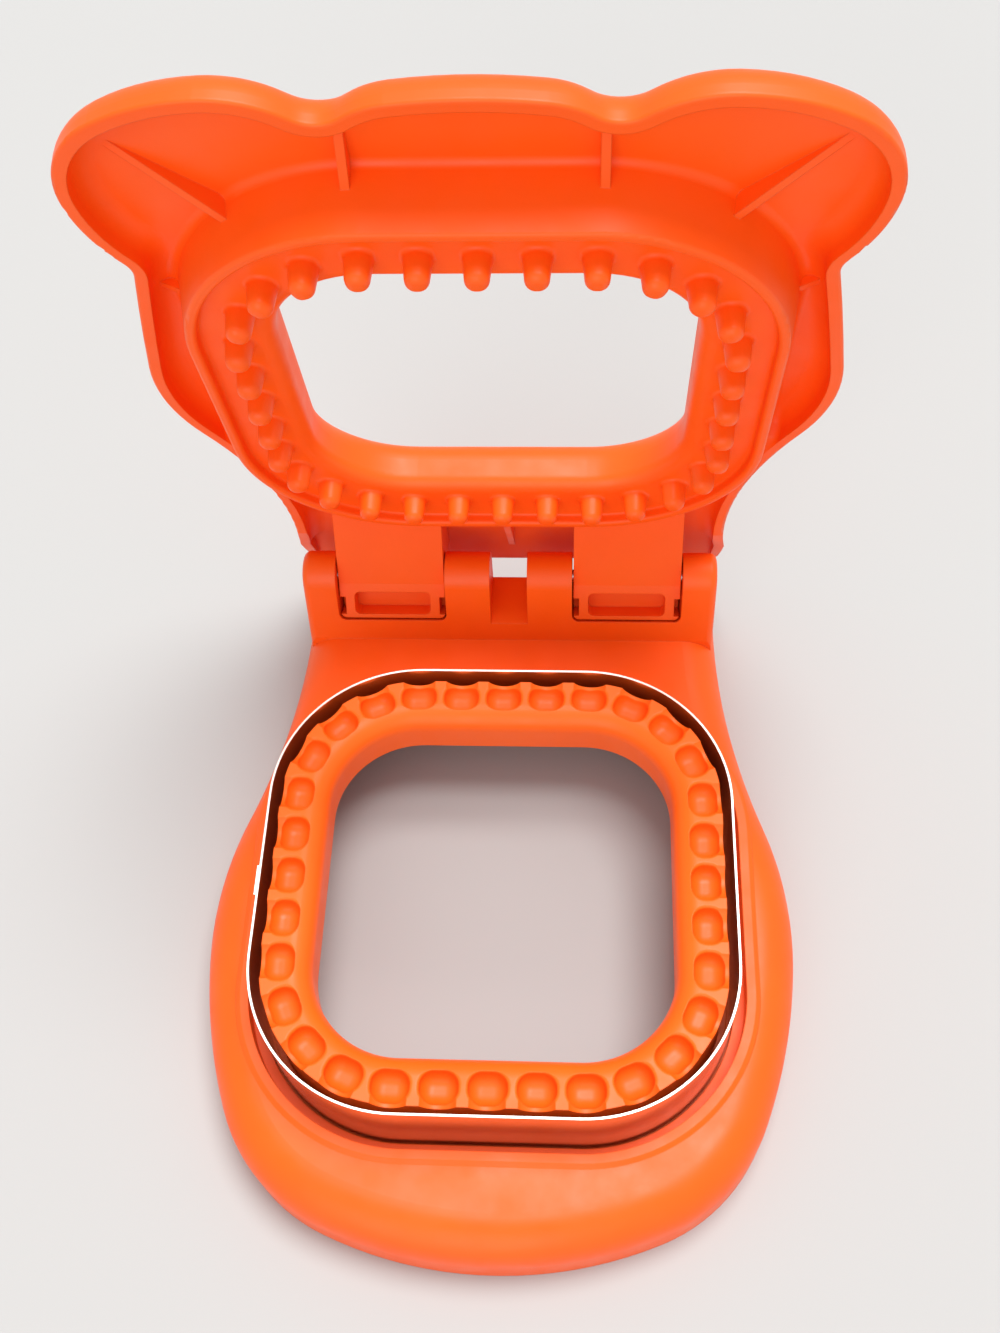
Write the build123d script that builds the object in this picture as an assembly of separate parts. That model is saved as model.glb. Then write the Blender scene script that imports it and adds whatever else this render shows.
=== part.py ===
from build123d import *
from math import asin, atan2, cos, degrees, hypot, pi, radians, sin, tan
import os

# A hinged kitchen mould that cuts and seals a filled sandwich. A hollow base holds a square crimp ring
# inside a thin steel blade. The lid carries 32 teeth that press into the ring's dimples when it shuts.
# Sizes are in millimetres. The origin is on the table, under the middle of the square opening.
# +Z is up, and the hinge is at the back, on +Y. The lid is drawn shut, then turned open.

# Sealing line: the rounded square that the ring, the blade and the lid are set out from
seal_span = 80.0            # across the square, from dimple middle to dimple middle
seal_corner = 23.5          # corner radius of the line
seal_count = 32             # dimples in the ring, and teeth in the lid
seal_floor = 26.4           # height of the dimple floors above the table

# Crimp ring
dimple_depth = 3.6
dimple_width = 7.0          # along the sealing line
dimple_length = 5.8         # across the sealing line
dimple_corner = 2.6         # corner radius of the dimple, seen from above
dimple_bottom_round = 2.4
dimple_mouth_round = 0.6
dimple_dip = 1.8            # how far the ring's outer edge dips beside each dimple
dip_radius = 3.9
ring_outset = 3.6           # sealing line to the ring's outer wall
ring_inset = 5.9            # sealing line to the opening
ring_wall = 2.0
ring_inner_round = 4.2      # rounding of the opening's top edge
ring_inner_height = 10.4    # how far the inner wall reaches down from the top
flange_top = 10.4           # the flange presses up against the underside of the ledge
flange_thick = 2.4
flange_width = 3.8          # how far the flange reaches out past the blade's inner face

# Steel blade
blade_inset = 5.2           # sealing line to the blade's inner face
blade_thick = 0.4
blade_rise = 5.1            # cutting edge above the dimple floors
blade_seat = 0.5            # depth of the blade's seat in the flange
blade_foot_width = 8.0
blade_foot_length = 1.8
blade_overlap = 6.0         # lap where the strip's two ends meet, on the left side
blade_lap_start = -5.0      # where the lap starts along the left side

# Base
base_top = 16.6
base_wall = 2.2
base_edge_round = 8.0
base_front = 66.4           # middle of the opening to the front of the base
base_outline = [(32.0, -60.0), (51.5, -40.0), (58.3, -9.0), (54.2, 20.0)]
neck_half = 45.6            # half the width of the base at the hinge
neck_start = 72.0           # where the base's sides become parallel
lip_inset = 8.0             # sealing line to the inner edge of the lip
lip_width = 2.6
lip_height = 0.6
lip_slope = 55.0            # slope of the lip's outer side from upright, in degrees
lip_round = 0.3
ledge_clearance = 0.4       # ledge to the blade
ledge_thick = 2.1

# Hinge
hinge_back = 71.2           # pin axis behind the middle of the opening
hinge_rise = 2.8            # pin axis above the dimple floors
open_angle = 78.0           # how far the lid stands open at rest
knuckle_radius = 5.0
block_front = 62.5          # where the sloping front of the hinge block meets the base
block_half = 44.6           # half the length of the hinge block
block_end_round = 1.5
notch_half = 4.0            # middle gap between the inner knuckles
notch_drop = 8.0            # floor of the middle gap below the pin axis
pocket_radius = 10.3
pocket_corner = 1.5
lug_near = 14.0             # inner side of each lid lug, from the middle
lug_far = 37.0              # outer side of each lid lug
lug_side_clearance = 0.3
lug_radius = 9.9
lug_corner = 1.3
lug_back_angle = 55.0       # where the round back of the hub runs straight up to the lid
lug_step = 1.2              # depth of the notch in each side of the lug's end face
pin_diameter = 2.5
pin_press = 0.02            # radial clearance in the knuckles
pin_running = 0.06          # radial clearance in the lid's lugs
pin_near = 8.0              # inner end of each pin, from the middle
pin_chamfer = 0.3
pin_recess = 0.8            # outer end of each pin below the side of the block

# Lid, with heights above the dimple floors while it is shut
lid_rim = 9.1
lid_ceiling = 14.3
lid_top = 16.1
lid_wall = 2.2
lid_edge_round = 5.0
lid_inner_round = 3.2
lid_front = 68.4            # middle of the opening to the front of the lid
lid_outline = [
    (10.8, -67.6), (17.0, -65.0), (23.4, -65.0), (35.6, -68.8), (50.8, -64.4), (59.9, -47.2),
    (55.0, -33.3), (54.3, -29.8), (59.4, -3.0), (55.6, 20.0),
]
lid_neck_half = 46.8
lid_neck_start = 74.0
lid_back = 89.3
lid_back_corner = 6.0
lid_taper_start = 64.0      # where the rim of the neck starts to rise towards the back
crimp_floor = 5.5           # face that carries the teeth
skirt_rim = 3.3
skirt_inset = 6.3           # sealing line to the skirt's inner face
skirt_wall = 1.8
skirt_draft = 11.0          # slope of the skirt's outer face in degrees
skirt_rim_round = 0.7
skirt_foot_round = 1.5      # rounding where the skirt's outer face meets the ceiling
crimp_corner_round = 0.6    # rounding between the skirt's inner face and the crimp floor
lid_rim_round = 0.6
hole_bottom_round = 2.7
hole_top_round = 4.8

# Sealing teeth
tooth_gap = 0.3             # shut, the teeth stop this far above the dimple floors
tooth_width = 4.6
tooth_length = 4.8
tooth_corner = 2.1
tooth_draft = 6.0
tooth_tip_round = 1.5
tooth_root_round = 0.7
tooth_margin = 0.1          # how much wider than its rounding the tooth's footing in the lid is

# Lugs of the lid
lug_slope = 35.0            # slope of the lug's front face, in degrees, from the skirt's foot to the nose
nose_back = 0.35            # top edge of the lug's end face, in front of the pin axis
nose_rise = 0.3             # the same edge above the dimple floors
nose_length = 9.0           # sloping end face of each lug
nose_angle = 42.0           # its slope in degrees
window_band = 2.0           # edge of the lug's end face above its hollow
window_bar = 0.9            # edge below the hollow
window_leg = 2.0            # edges beside the hollow
window_depth = 4.5
window_corner = 1.2
notch_start = 3.2           # where the side notches of the end face start, below its top edge

# Stiffening ribs inside the lid: where each starts on the ceiling, where it ends on the skirt,
# and how high its lower edge ends above the dimple floors
rib_thick = 1.4
front_rib = ((18.4, -60.0), (18.4, -47.0), 9.3)
ear_rib = ((52.0, -55.0), (35.8, -40.5), 10.2)
cheek_rib = ((54.5, -22.0), (48.2, -22.0), 11.5)
back_rib = ((0.0, 80.7), (0.0, 48.0), 5.1)

# Screws under the flange
screw_places = [(27.0, -54.5), (30.0, 54.5)]
screw_diameter = 2.5
screw_clearance = 0.05
screw_reach = 3.4           # depth of the screw's hole in its boss
screw_head_diameter = 5.2
screw_head_height = 1.8
screw_tip_gap = 0.3         # screw tip to the end of its hole
slot_length = 3.2           # cross slot in the screw's head
slot_width = 0.8
slot_depth = 1.0
boss_diameter = 6.5
boss_bury = 0.3             # how far the boss runs into the base's top wall
boss_seat_diameter = 8.4

# Worked out from the sizes above
seal_half = seal_span / 2
ring_top = seal_floor + dimple_depth
flange_bottom = flange_top - flange_thick
hinge_z = seal_floor + hinge_rise
block_back = hinge_back + knuckle_radius
base_ceiling = base_top - base_wall
lip_top = base_top + lip_height
ledge_top = flange_top + ledge_thick
cut_margin = 5.0


def cell(grow, height):
    """The sealing line's rounded square, moved out by grow, at a height."""
    span = seal_span + 2 * grow
    return Plane.XY.offset(height) * RectangleRounded(span, span, seal_corner + grow)


def cell_block(grow, bottom, top):
    return extrude(cell(grow, bottom), top - bottom)


def seal_places():
    """One place for each dimple and tooth. Its own +Y points out of the square."""
    straight = seal_span - 2 * seal_corner
    bend = seal_corner * pi / 2
    pitch = 4 * (straight + bend) / seal_count
    places = []
    for index in range(seal_count):
        side, along = divmod(index * pitch + straight / 2, straight + bend)
        turn = max(along - straight, 0.0) / seal_corner
        x = min(along, straight) - straight / 2 + seal_corner * sin(turn)
        y = seal_half - seal_corner + seal_corner * cos(turn)
        places.append(Rot(0, 0, -90 * side) * Pos(x, y, 0) * Rot(0, 0, -degrees(turn)))
    return places


def half_outline(points):
    """Arcs that run smoothly through the points, starting straight across at the front."""
    arcs = []
    heading = Vector(1, 0)
    for start, end in zip(points, points[1:]):
        arc = TangentArc(start, end, tangent=heading)
        heading = arc % 1
        arcs.append(arc)
    return arcs


def symmetric_face(points, back):
    """Face between an outline's right half, its mirror image and a straight back edge."""
    right = half_outline(points)
    right.append(Line(points[-1], (points[-1][0], back)))
    left = [mirror(edge, about=Plane.YZ) for edge in right]
    rear = Line((-points[-1][0], back), (points[-1][0], back))
    return make_face(Curve() + right + left + [rear])


def edges_at_height(shape, height):
    return shape.edges().filter_by_position(Axis.Z, height - 0.01, height + 0.01)


def inner_edges(shape, height, half):
    """Edges at a height that lie inside a square of the given half size."""
    near = half + 0.01
    return [edge for edge in edges_at_height(shape, height)
            if max(abs(edge.center().X), abs(edge.center().Y)) < near]


def box_between(x_range, y_range, z_range):
    size = [high - low for low, high in (x_range, y_range, z_range)]
    middle = [(high + low) / 2 for low, high in (x_range, y_range, z_range)]
    return Pos(*middle) * Box(*size)


def profile_along_x(face_edges, x_from, x_to):
    """Solid with the given side view, drawn as (y, z), between two x positions."""
    face = make_face(Plane.YZ.offset(x_from) * (Curve() + face_edges))
    return extrude(face, x_to - x_from, dir=(1, 0, 0))


def x_cylinder(radius, x_from, x_to):
    """Cylinder about the hinge axis."""
    place = Pos((x_from + x_to) / 2, hinge_back, hinge_z) * Rot(0, 90, 0)
    return place * Cylinder(radius, x_to - x_from)


def both_sides(shape):
    return shape + mirror(shape, about=Plane.YZ)


def make_dimple():
    """Cutter for one dimple, with the dip in the ring's outer edge beside it."""
    mouth = ring_top + cut_margin
    cutter = extrude(Plane.XY.offset(seal_floor) * RectangleRounded(dimple_width, dimple_length, dimple_corner),
                     mouth - seal_floor)
    cutter = fillet(edges_at_height(cutter, seal_floor), dimple_bottom_round)
    half = (dimple_width + cut_margin) / 2
    cutter += box_between((-half, half), (-half, half), (ring_top, mouth))
    cutter = fillet(inner_edges(cutter, ring_top, max(dimple_width, dimple_length) / 2), dimple_mouth_round)
    reach = ring_outset + cut_margin
    dip_axis = ring_top - dimple_dip + dip_radius
    dip = Pos(0, reach / 2, dip_axis) * Rot(90, 0, 0) * Cylinder(dip_radius, reach)
    return cutter + dip


def make_crimp_ring():
    crown = cell_block(ring_outset, flange_bottom, ring_top) - cell_block(-ring_inset, 0, ring_top + cut_margin)
    crown = fillet(inner_edges(crown, ring_top, seal_half - ring_inset), ring_inner_round)
    inner_bottom = ring_top - ring_inner_height
    crown -= cell_block(-ring_inset + ring_wall, 0, inner_bottom)
    crown -= (cell_block(ring_outset - ring_wall, 0, seal_floor - ring_wall)
              - cell_block(-ring_inset + ring_wall, 0, seal_floor))
    dimple = make_dimple()
    crown -= [place * dimple for place in seal_places()]
    flange_edge = blade_inset + flange_width
    flange = cell_block(flange_edge, flange_bottom, flange_top)
    for x, y in screw_places:
        seat = extrude(Plane.XY.offset(flange_bottom) * Pos(x, y) * Circle(boss_seat_diameter / 2), flange_thick)
        half = boss_seat_diameter / 2
        bridge = box_between((x - half, x + half), sorted((y, y / abs(y) * seal_half)), (flange_bottom, flange_top))
        flange += both_sides(seat + bridge)
    flange -= cell_block(ring_outset - ring_wall, 0, ring_top)
    seat_floor = flange_top - blade_seat
    blade_outer = blade_inset + 2 * blade_thick + ledge_clearance
    flange -= (cell_block(blade_outer, seat_floor, ring_top)
               - cell_block(blade_inset - ledge_clearance, seat_floor, ring_top))
    for place in foot_places():
        half = blade_foot_width / 2 + ledge_clearance
        reach = blade_inset + blade_thick + blade_foot_length + ledge_clearance
        flange -= place * box_between((-half, half), (blade_inset, reach), (seat_floor, ring_top))
    for x, y in screw_places:
        hole = Pos(x, y, flange_bottom) * Cylinder(screw_diameter / 2 + screw_clearance, 2 * cut_margin)
        flange -= both_sides(hole)
    return crown + flange


def foot_places():
    """Places of the blade's feet at the back and at both sides, with +Y pointing out."""
    return [Rot(0, 0, turn) * Pos(0, seal_half, 0) for turn in (0, 90, -90)]


def make_blade():
    """Steel strip bent into a rounded square, with a lap on the left side and four feet."""
    bottom = flange_top - blade_seat
    top = seal_floor + blade_rise
    strip = cell_block(blade_inset + blade_thick, bottom, top) - cell_block(blade_inset, bottom, top)
    lap_face = -(seal_half + blade_inset + blade_thick)
    lap = box_between((lap_face - blade_thick, lap_face), (blade_lap_start, blade_lap_start + blade_overlap),
                      (ledge_top + blade_seat, top))
    strip += lap
    for place in foot_places():
        reach = blade_inset + blade_thick + blade_foot_length
        strip += place * box_between((-blade_foot_width / 2, blade_foot_width / 2), (blade_inset, reach),
                                     (bottom, bottom + blade_thick))
    return strip


def make_hinge_block():
    """Block across the back of the base with a rounded top that holds the pins."""
    rise = hinge_z - base_top
    run = hinge_back - block_front
    slope = atan2(rise, run) + asin(knuckle_radius / hypot(rise, run))
    touch = (hinge_back - knuckle_radius * sin(slope), hinge_z + knuckle_radius * cos(slope))
    crest = (hinge_back, hinge_z + knuckle_radius)
    rear = (block_back, hinge_z)
    middle = (hinge_back + knuckle_radius * cos(pi / 4), hinge_z + knuckle_radius * sin(pi / 4))
    start = atan2(touch[1] - hinge_z, touch[0] - hinge_back)
    between = (start + pi / 2) / 2
    front_middle = (hinge_back + knuckle_radius * cos(between), hinge_z + knuckle_radius * sin(between))
    side_view = [
        Line((block_front, 0), (block_front, base_top)),
        Line((block_front, base_top), touch),
        ThreePointArc(touch, front_middle, crest),
        ThreePointArc(crest, middle, rear),
        Line(rear, (block_back, 0)),
        Line((block_back, 0), (block_front, 0)),
    ]
    block = profile_along_x(side_view, -block_half, block_half)
    ends = [edge for edge in block.edges()
            if abs(abs(edge.center().X) - block_half) < 0.01
            and edge.center().Y > block_front + 0.01
            and edge.center().Z > 0.01]
    return fillet(ends, block_end_round)


def make_base():
    outline = [(0.0, -base_front)] + base_outline + [(neck_half, neck_start)]
    plan = symmetric_face(outline, block_back)
    body = extrude(plan, base_top)
    rim = [edge for edge in edges_at_height(body, base_top) if edge.center().Y < neck_start]
    body = fillet(rim, base_edge_round)
    hollow = extrude(Plane.XY.offset(-cut_margin) * offset(plan, -base_wall), base_ceiling + cut_margin)
    hollow = fillet(edges_at_height(hollow, base_ceiling), base_edge_round - base_wall)
    shell = body + make_hinge_block()
    shell -= hollow
    shell -= box_between((base_wall - neck_half, neck_half - base_wall), (block_front, block_back - base_wall),
                         (-cut_margin, base_ceiling))
    lip = extrude(cell(lip_inset + lip_width, base_top), lip_height, taper=lip_slope)
    shell += cell_block(lip_inset + lip_width, flange_top, base_top)
    shell += fillet(edges_at_height(lip, lip_top), lip_round)
    shell -= cell_block(lip_inset, ledge_top, lip_top + cut_margin)
    shell -= cell_block(blade_inset + blade_thick + ledge_clearance, -cut_margin, lip_top)
    shell -= cell_block(lip_inset, -cut_margin, flange_top)
    for x, y in screw_places:
        boss = Pos(x, y, flange_top) * Cylinder(boss_diameter / 2, base_ceiling - flange_top + boss_bury,
                                                align=(Align.CENTER, Align.CENTER, Align.MIN))
        shell += both_sides(boss - cell_block(lip_inset, 0, lip_top))
    for x, y in screw_places:
        hole = Pos(x, y, flange_top) * Cylinder(screw_diameter / 2 + screw_clearance, screw_reach,
                                                align=(Align.CENTER, Align.CENTER, Align.MIN))
        shell -= both_sides(hole)
    pocket = x_cylinder(pocket_radius, lug_near - lug_side_clearance, lug_far + lug_side_clearance)
    pocket = fillet(pocket.edges().filter_by(GeomType.CIRCLE), pocket_corner)
    shell -= both_sides(pocket)
    shell -= box_between((-notch_half, notch_half), (block_front - cut_margin, block_back + cut_margin),
                         (hinge_z - notch_drop, hinge_z + knuckle_radius + cut_margin))
    shell -= both_sides(x_cylinder(pin_diameter / 2 + pin_press, pin_near, neck_half + cut_margin))
    return shell


def make_pin():
    """Right hinge pin, pressed in from the side of the block."""
    pin = x_cylinder(pin_diameter / 2, pin_near, block_half - pin_recess)
    return chamfer(pin.edges().filter_by(GeomType.CIRCLE), pin_chamfer)


def make_screws():
    screws = []
    for x, y in screw_places:
        for side in (1, -1):
            shank = Cylinder(screw_diameter / 2, flange_thick + screw_reach - screw_tip_gap,
                             align=(Align.CENTER, Align.CENTER, Align.MIN))
            head = Cylinder(screw_head_diameter / 2, screw_head_height,
                            align=(Align.CENTER, Align.CENTER, Align.MAX))
            head = fillet(head.edges().group_by(Axis.Z)[0], screw_head_height / 2)
            screw = shank + head
            for turn in (0, 90):
                slot = Rot(0, 0, turn) * Box(slot_length, slot_width, 2 * slot_depth)
                screw -= Pos(0, 0, -screw_head_height) * slot
            screws.append(Pos(side * x, y, flange_bottom) * screw)
    return screws


def lid_height(rise):
    return seal_floor + rise


def make_tooth():
    """One sealing tooth, widest at the crimp floor and rounded at its tip."""
    root = Plane.XY.offset(lid_height(crimp_floor)) * RectangleRounded(tooth_width, tooth_length, tooth_corner)
    tip = lid_height(tooth_gap)
    tooth = extrude(root, lid_height(crimp_floor) - tip, dir=(0, 0, -1), taper=tooth_draft)
    tooth = fillet(edges_at_height(tooth, tip), tooth_tip_round)
    flare = 2 * tooth_root_round + tooth_margin
    footing = Plane.XY.offset(lid_height(crimp_floor)) * Rectangle(tooth_width + flare, tooth_length + flare)
    tooth += extrude(footing, tooth_root_round)
    return fillet(inner_edges(tooth, lid_height(crimp_floor), tooth_length / 2), tooth_root_round)


def make_rib(start, end, depth_at_end):
    """Thin three-cornered rib under the ceiling, from a point on it to a lower point on the skirt."""
    length = hypot(end[0] - start[0], end[1] - start[1])
    angle = degrees(atan2(end[1] - start[1], end[0] - start[0]))
    top = lid_height(lid_ceiling) + lid_wall / 2
    low = lid_height(depth_at_end)
    ceiling = lid_height(lid_ceiling)
    corners = [(0, top), (length, top), (length, low), (0, ceiling)]
    side = make_face(Plane.XZ * Polyline(*corners, close=True))
    rib = extrude(side, rib_thick / 2, both=True)
    return Pos(start[0], start[1], 0) * Rot(0, 0, angle) * rib


def make_lug():
    """Right lug: a wedge from the skirt's foot to a hub about the pin, hollow at its sloping end face."""
    top = lid_height(lid_ceiling) + lid_wall / 2
    nose = (hinge_back - nose_back, lid_height(nose_rise))
    slope = radians(nose_angle)
    reach = (nose[0] + nose_length * cos(slope) - hinge_back, nose[1] - nose_length * sin(slope) - hinge_z)
    scale = lug_radius / hypot(*reach)
    tip = (hinge_back + reach[0] * scale, hinge_z + reach[1] * scale)
    foot = (nose[0] - (top - nose[1]) / tan(radians(lug_slope)), top)
    back_angle = radians(lug_back_angle)
    mid_angle = (atan2(reach[1], reach[0]) + back_angle) / 2
    rear = (hinge_back + lug_radius * cos(back_angle), hinge_z + lug_radius * sin(back_angle))
    middle = (hinge_back + lug_radius * cos(mid_angle), hinge_z + lug_radius * sin(mid_angle))
    side_view = [
        Line(foot, nose),
        Line(nose, tip),
        ThreePointArc(tip, middle, rear),
        Line(rear, (rear[0], top)),
        Line((rear[0], top), foot),
    ]
    lug = profile_along_x(side_view, lug_near, lug_far)
    lug = fillet(lug.edges().filter_by(GeomType.CIRCLE), lug_corner)
    along = Vector(0, tip[0] - nose[0], tip[1] - nose[1])
    face_length = along.length
    along = along.normalized()
    face_plane = Plane(origin=((lug_near + lug_far) / 2, *nose), x_dir=(1, 0, 0), z_dir=(0, along.Z, -along.Y))
    half = (lug_far - lug_near) / 2
    window_high = face_length - window_band - window_bar
    window_wide = 2 * (half - lug_step - window_leg)
    window = Pos(0, -window_band - window_high / 2) * RectangleRounded(window_wide, window_high, window_corner)
    notch_high = face_length - notch_start - window_bar
    notch = Pos(half, -notch_start - notch_high / 2) * Rectangle(2 * lug_step, notch_high)
    for hollow in (window, notch, mirror(notch, about=Plane.YZ)):
        lug -= extrude(face_plane * hollow, -window_depth)
    return lug - x_cylinder(pin_diameter / 2 + pin_running, lug_near - cut_margin, lug_far + cut_margin)


def make_lid():
    """The lid while it is shut."""
    rim = lid_height(lid_rim)
    ceiling = lid_height(lid_ceiling)
    top = lid_height(lid_top)
    outline = [(0.0, -lid_front)] + lid_outline + [(lid_neck_half, lid_neck_start)]
    plan = symmetric_face(outline, lid_back)
    shell = extrude(Plane.XY.offset(rim) * plan, top - rim)
    shell = fillet(shell.edges().filter_by(Axis.Z).group_by(Axis.Y)[-1], lid_back_corner)
    shell = fillet(edges_at_height(shell, top), lid_edge_round)
    shell = fillet(edges_at_height(shell, rim), lid_rim_round)
    hollow = extrude(Plane.XY.offset(rim) * offset(plan, -lid_wall), ceiling - rim)
    hollow = fillet(edges_at_height(hollow, ceiling), lid_inner_round)
    inner_half = lid_neck_half - lid_wall
    hollow += box_between((-inner_half, inner_half), (lid_neck_start, lid_back + cut_margin), (rim, ceiling))
    skirt_low = lid_height(skirt_rim)
    skirt_outer = extrude(cell(skirt_inset + skirt_wall, skirt_low), ceiling + lid_wall / 2 - skirt_low,
                          taper=-skirt_draft)
    shell -= hollow - skirt_outer
    shell += skirt_outer
    shell = fillet(inner_edges(shell, ceiling, seal_half + skirt_inset + 2 * skirt_wall), skirt_foot_round)
    shell -= cell_block(skirt_inset, lid_height(skirt_rim), lid_height(crimp_floor))
    shell = fillet(edges_at_height(shell, lid_height(skirt_rim)), skirt_rim_round)
    shell = fillet(inner_edges(shell, lid_height(crimp_floor), seal_half + skirt_inset), crimp_corner_round)
    shell -= cell_block(-ring_inset, rim - cut_margin, top + cut_margin)
    hole_half = seal_half - ring_inset
    shell = fillet(inner_edges(shell, top, hole_half), hole_top_round)
    shell = fillet(inner_edges(shell, lid_height(crimp_floor), hole_half), hole_bottom_round)
    taper_back = lid_back + cut_margin
    taper_view = Polyline((lid_taper_start, rim), (lid_back, ceiling), (taper_back, ceiling),
                          (taper_back, rim - cut_margin), (lid_taper_start, rim - cut_margin), close=True)
    shell -= profile_along_x(taper_view.edges(), -lid_neck_half - cut_margin, lid_neck_half + cut_margin)
    tooth = make_tooth()
    shell += [place * tooth for place in seal_places()]
    shell += both_sides(make_lug() - cell_block(skirt_inset, 0, ceiling))
    shell += both_sides(make_rib(*front_rib) + make_rib(*ear_rib) + make_rib(*cheek_rib))
    return shell + make_rib(*back_rib)


def turned_open(shape):
    """Turns the shut lid back about the hinge axis."""
    return Pos(0, hinge_back, hinge_z) * Rot(-open_angle, 0, 0) * Pos(0, -hinge_back, -hinge_z) * shape


base = make_base()
right_pin = make_pin()
nodes = {
    "base_shell": base,
    "crimp_ring": make_crimp_ring(),
    "cutter_blade": make_blade(),
    "ring_screws": Compound(make_screws()),
    "lid_shell": turned_open(make_lid()),
    "hinge_pin_right": right_pin,
    "hinge_pin_left": mirror(right_pin, about=Plane.YZ),
}

os.makedirs("parts", exist_ok=True)
for name, shape in nodes.items():
    export_step(shape, f"parts/{name}.step")
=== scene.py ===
from math import cos, radians, sin

import bmesh
import bpy
from mathutils import Matrix, Vector


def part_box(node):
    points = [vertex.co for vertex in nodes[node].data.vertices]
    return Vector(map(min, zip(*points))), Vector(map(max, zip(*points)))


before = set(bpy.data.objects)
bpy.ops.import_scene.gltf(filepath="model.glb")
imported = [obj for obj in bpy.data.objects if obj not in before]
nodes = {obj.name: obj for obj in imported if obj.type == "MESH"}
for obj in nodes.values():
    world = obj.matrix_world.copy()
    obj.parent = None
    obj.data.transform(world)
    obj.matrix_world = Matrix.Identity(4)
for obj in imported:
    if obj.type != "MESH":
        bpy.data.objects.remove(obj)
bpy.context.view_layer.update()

# A hinged orange mould that cuts a filled sandwich out of bread and crimps its edge shut. The solids come
# from model.glb. This script gives them their finishes and sets the floor, the light and the camera.
MM = 0.001

# Sizes of the marks on the surfaces, and of the floor, in metres
FLOW_WIDTH = 14 * MM
RUBBED_WIDTH = 6 * MM
GRAIN_WIDTH = 0.4 * MM
BROKEN_EDGE = 0.3 * MM
ROLLING_LENGTH = 9 * MM
FLOOR_HALF_WIDTH = 4
# The rolling lines are this many times as long as they are apart
ROLLING_STRETCH = 30.0


# Small helpers for colours and shader nodes
def colour(hex_code):
    """Linear RGBA of an sRGB hex colour."""
    parts = [int(hex_code[i:i + 2], 16) / 255 for i in (0, 2, 4)]
    return tuple(c / 12.92 if c <= 0.04045 else ((c + 0.055) / 1.055) ** 2.4 for c in parts) + (1.0,)


def new_material(name):
    material = bpy.data.materials.new(name)
    material.use_nodes = True
    shader = material.node_tree.nodes["Principled BSDF"]
    return material, shader


def add_node(material, kind, settings=None, links=None):
    """Adds a shader node, sets its inputs and properties by name, and links other outputs into it."""
    node = material.node_tree.nodes.new(kind)
    for name, value in (settings or {}).items():
        if name in node.inputs:
            node.inputs[name].default_value = value
        else:
            setattr(node, name, value)
    for name, output in (links or {}).items():
        material.node_tree.links.new(output, node.inputs[name])
    return node


def link(material, output, socket):
    material.node_tree.links.new(output, socket)


# Finishes
def moulded_plastic(name, body_hex, shade_hex):
    """ABS from a finely blasted mould. To the eye: satin orange, broad soft highlights, deep red hollows."""
    material, shader = new_material(name)
    place = add_node(material, "ShaderNodeTexCoord").outputs["Object"]
    # Flow marks left as the mould filled, some 14 mm across, shift the tint very slightly
    flow = add_node(material, "ShaderNodeTexNoise", {"Scale": 1 / FLOW_WIDTH, "Detail": 3.0},
                    {"Vector": place})
    tint = add_node(material, "ShaderNodeMixRGB", {"Color1": colour(shade_hex), "Color2": colour(body_hex)},
                    {"Fac": flow.outputs["Fac"]})
    link(material, tint.outputs["Color"], shader.inputs["Base Color"])
    # Handling dulls the gloss in patches some 6 mm across
    rubbed = add_node(material, "ShaderNodeTexNoise", {"Scale": 1 / RUBBED_WIDTH, "Detail": 4.0},
                      {"Vector": place})
    gloss = add_node(material, "ShaderNodeMapRange",
                     {"From Min": 0.3, "From Max": 0.7, "To Min": 0.36, "To Max": 0.5},
                     {"Value": rubbed.outputs["Fac"]})
    link(material, gloss.outputs["Result"], shader.inputs["Roughness"])
    # The blasted grain is about 0.1 mm, drawn 0.4 mm across so that it shows. Edges are broken by 0.3 mm
    grain = add_node(material, "ShaderNodeTexNoise", {"Scale": 1 / GRAIN_WIDTH, "Detail": 2.0},
                     {"Vector": place})
    edges = add_node(material, "ShaderNodeBevel", {"samples": 4, "Radius": BROKEN_EDGE})
    bump = add_node(material, "ShaderNodeBump", {"Strength": 0.1, "Distance": 0.04 * MM},
                    {"Height": grain.outputs["Fac"], "Normal": edges.outputs["Normal"]})
    link(material, bump.outputs["Normal"], shader.inputs["Normal"])
    shader.inputs["IOR"].default_value = 1.5
    shader.inputs["Specular IOR Level"].default_value = 0.3
    return material


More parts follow.
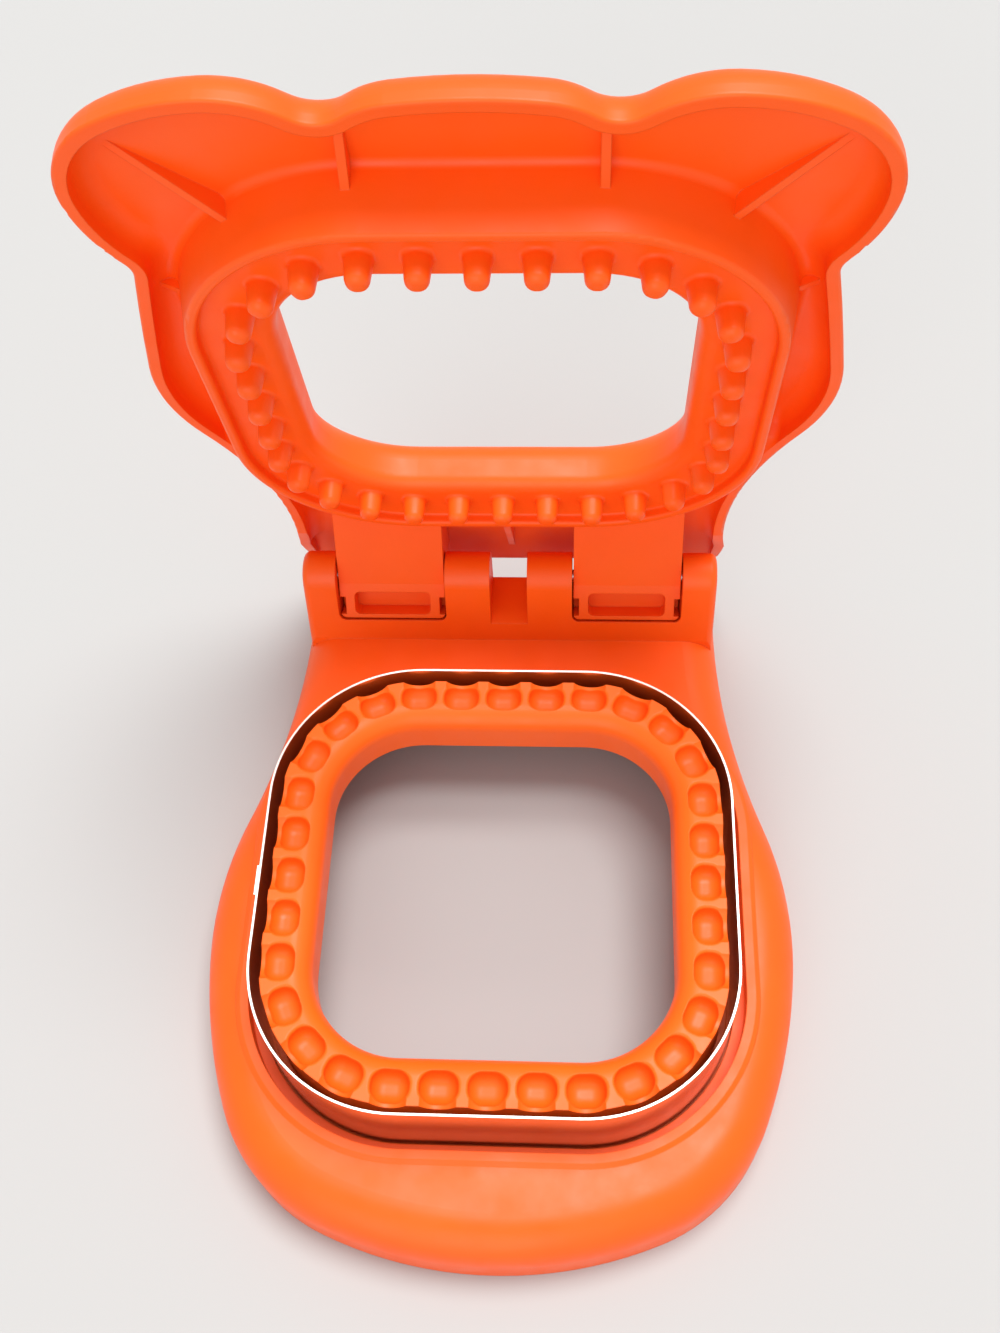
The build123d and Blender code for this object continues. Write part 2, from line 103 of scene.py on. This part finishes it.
def bright_strip(name):
    """Cold-rolled stainless strip. To the eye: a soft mirror, faint rolling lines and a top edge painted
    paler as a highlight.
    """
    material, shader = new_material(name)
    shader.inputs["Metallic"].default_value = 1.0
    place = add_node(material, "ShaderNodeTexCoord").outputs["Object"]
    height = add_node(material, "ShaderNodeSeparateXYZ", links={"Vector": place}).outputs["Z"]
    # The slit edge at the top is duller than the rolled faces, and is painted paler there as a highlight
    slit_edge_and_highlight = add_node(material, "ShaderNodeMapRange",
                   {"From Min": BLADE_TOP - 0.08 * MM, "From Max": BLADE_TOP - 0.02 * MM}, {"Value": height})
    # The paler colour along the top edge is a painted highlight
    tint = add_node(material, "ShaderNodeMixRGB", {"Color1": colour("DAD6D2"), "Color2": colour("F4EFE6")},
                    {"Fac": slit_edge_and_highlight.outputs["Result"]})
    link(material, tint.outputs["Color"], shader.inputs["Base Color"])
    spread = add_node(material, "ShaderNodeMapRange",
                      {"To Min": 0.2, "To Max": 0.5}, {"Value": slit_edge_and_highlight.outputs["Result"]})
    link(material, spread.outputs["Result"], shader.inputs["Roughness"])
    # Rolling lines run along the strip, about 0.3 mm apart up its height
    stretch = add_node(material, "ShaderNodeMapping", {"Scale": (1.0, 1.0, ROLLING_STRETCH)},
                       {"Vector": place})
    lines = add_node(material, "ShaderNodeTexNoise", {"Scale": 1 / ROLLING_LENGTH, "Detail": 3.0},
                     {"Vector": stretch.outputs["Vector"]})
    bump = add_node(material, "ShaderNodeBump", {"Strength": 0.06, "Distance": 0.02 * MM},
                    {"Height": lines.outputs["Fac"]})
    link(material, bump.outputs["Normal"], shader.inputs["Normal"])
    return material


def turned_steel(name, hex_code, ring_mm):
    """Turned and plated steel. To the eye: grey, softly bright, with fine rings left by the tool."""
    material, shader = new_material(name)
    shader.inputs["Base Color"].default_value = colour(hex_code)
    shader.inputs["Metallic"].default_value = 1.0
    place = add_node(material, "ShaderNodeTexCoord").outputs["Object"]
    grain = add_node(material, "ShaderNodeTexNoise", {"Scale": 1 / (ring_mm * MM), "Detail": 2.0},
                     {"Vector": place})
    spread = add_node(material, "ShaderNodeMapRange", {"To Min": 0.24, "To Max": 0.42},
                      {"Value": grain.outputs["Fac"]})
    link(material, spread.outputs["Result"], shader.inputs["Roughness"])
    bump = add_node(material, "ShaderNodeBump", {"Strength": 0.15, "Distance": 0.02 * MM},
                    {"Height": grain.outputs["Fac"]})
    link(material, bump.outputs["Normal"], shader.inputs["Normal"])
    return material


def dress(node_name, material):
    mesh = nodes[node_name].data
    mesh.materials.clear()
    mesh.materials.append(material)


BLADE_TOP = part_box("cutter_blade")[1][2]
body_plastic = moulded_plastic("satin_orange_abs", "FF5F0E", "FA570B")
ring_plastic = moulded_plastic("satin_ring_abs", "FF6A14", "FB6110")
pin_steel = turned_steel("ground_pin_steel", "B9B9BC", 0.4)
dress("base_shell", body_plastic)
dress("lid_shell", body_plastic)
dress("crimp_ring", ring_plastic)
dress("cutter_blade", bright_strip("rolled_stainless_strip"))
dress("hinge_pin_left", pin_steel)
dress("hinge_pin_right", pin_steel)
dress("ring_screws", turned_steel("plated_screw_steel", "ADADB0", 0.3))


# Floor, light and camera
def make_floor():
    shape = bmesh.new()
    bmesh.ops.create_grid(shape, x_segments=1, y_segments=1, size=FLOOR_HALF_WIDTH)
    mesh = bpy.data.meshes.new("floor")
    shape.to_mesh(mesh)
    shape.free()
    floor = bpy.data.objects.new("floor", mesh)
    bpy.context.scene.collection.objects.link(floor)
    material, shader = new_material("pale_floor")
    shader.inputs["Base Color"].default_value = colour("B4B3B1")
    shader.inputs["Roughness"].default_value = 0.9
    shader.inputs["Specular IOR Level"].default_value = 0.1
    mesh.materials.append(material)


def make_sun(name, source, spread, strength):
    """Far, soft light that shines from the side of the source point towards the object."""
    light = bpy.data.lights.new(name, "SUN")
    light.angle = spread
    light.energy = strength
    lamp = bpy.data.objects.new(name, light)
    bpy.context.scene.collection.objects.link(lamp)
    lamp.rotation_euler = Vector(source).to_track_quat("Z", "Y").to_euler()


def make_world():
    world = bpy.data.worlds.new("soft_room")
    world.use_nodes = True
    background = world.node_tree.nodes["Background"]
    background.inputs["Color"].default_value = colour("F4F5F7")
    background.inputs["Strength"].default_value = 0.72
    bpy.context.scene.world = world


# The camera was worked out from the photograph: where the lens stood and how it was turned
CAMERA_PLACE = Vector((15.4, -110.6, 287.6)) * MM
CAMERA_DOWN = radians(58.35)
CAMERA_LEFT = radians(5.95)
CAMERA_ROLL = radians(-4.48)
FOCAL_PIXELS = 1453.7
PHOTO_HEIGHT = 1333
SENSOR_MM = 36.0


def make_camera():
    ahead = cos(CAMERA_DOWN)
    forward = Vector((-sin(CAMERA_LEFT) * ahead, cos(CAMERA_LEFT) * ahead, -sin(CAMERA_DOWN)))
    level = Vector((cos(CAMERA_LEFT), sin(CAMERA_LEFT), 0))
    rise = level.cross(forward)
    right = cos(CAMERA_ROLL) * level + sin(CAMERA_ROLL) * rise
    up = cos(CAMERA_ROLL) * rise - sin(CAMERA_ROLL) * level
    data = bpy.data.cameras.new("photo_view")
    data.sensor_fit = "VERTICAL"
    data.sensor_height = SENSOR_MM
    data.lens = FOCAL_PIXELS / PHOTO_HEIGHT * SENSOR_MM
    data.clip_start = 0.01
    camera = bpy.data.objects.new("photo_view", data)
    bpy.context.scene.collection.objects.link(camera)
    turn = Matrix((right, up, -forward)).transposed().to_4x4()
    camera.matrix_world = Matrix.Translation(CAMERA_PLACE) @ turn
    bpy.context.scene.camera = camera


make_floor()
make_world()
make_sun("overhead", (0.15, 0.15, 0.9), radians(34), 3.3)
make_sun("front_fill", (-0.15, -0.85, 0.4), radians(46), 1.0)
make_camera()
bpy.context.scene.view_settings.view_transform = "Standard"
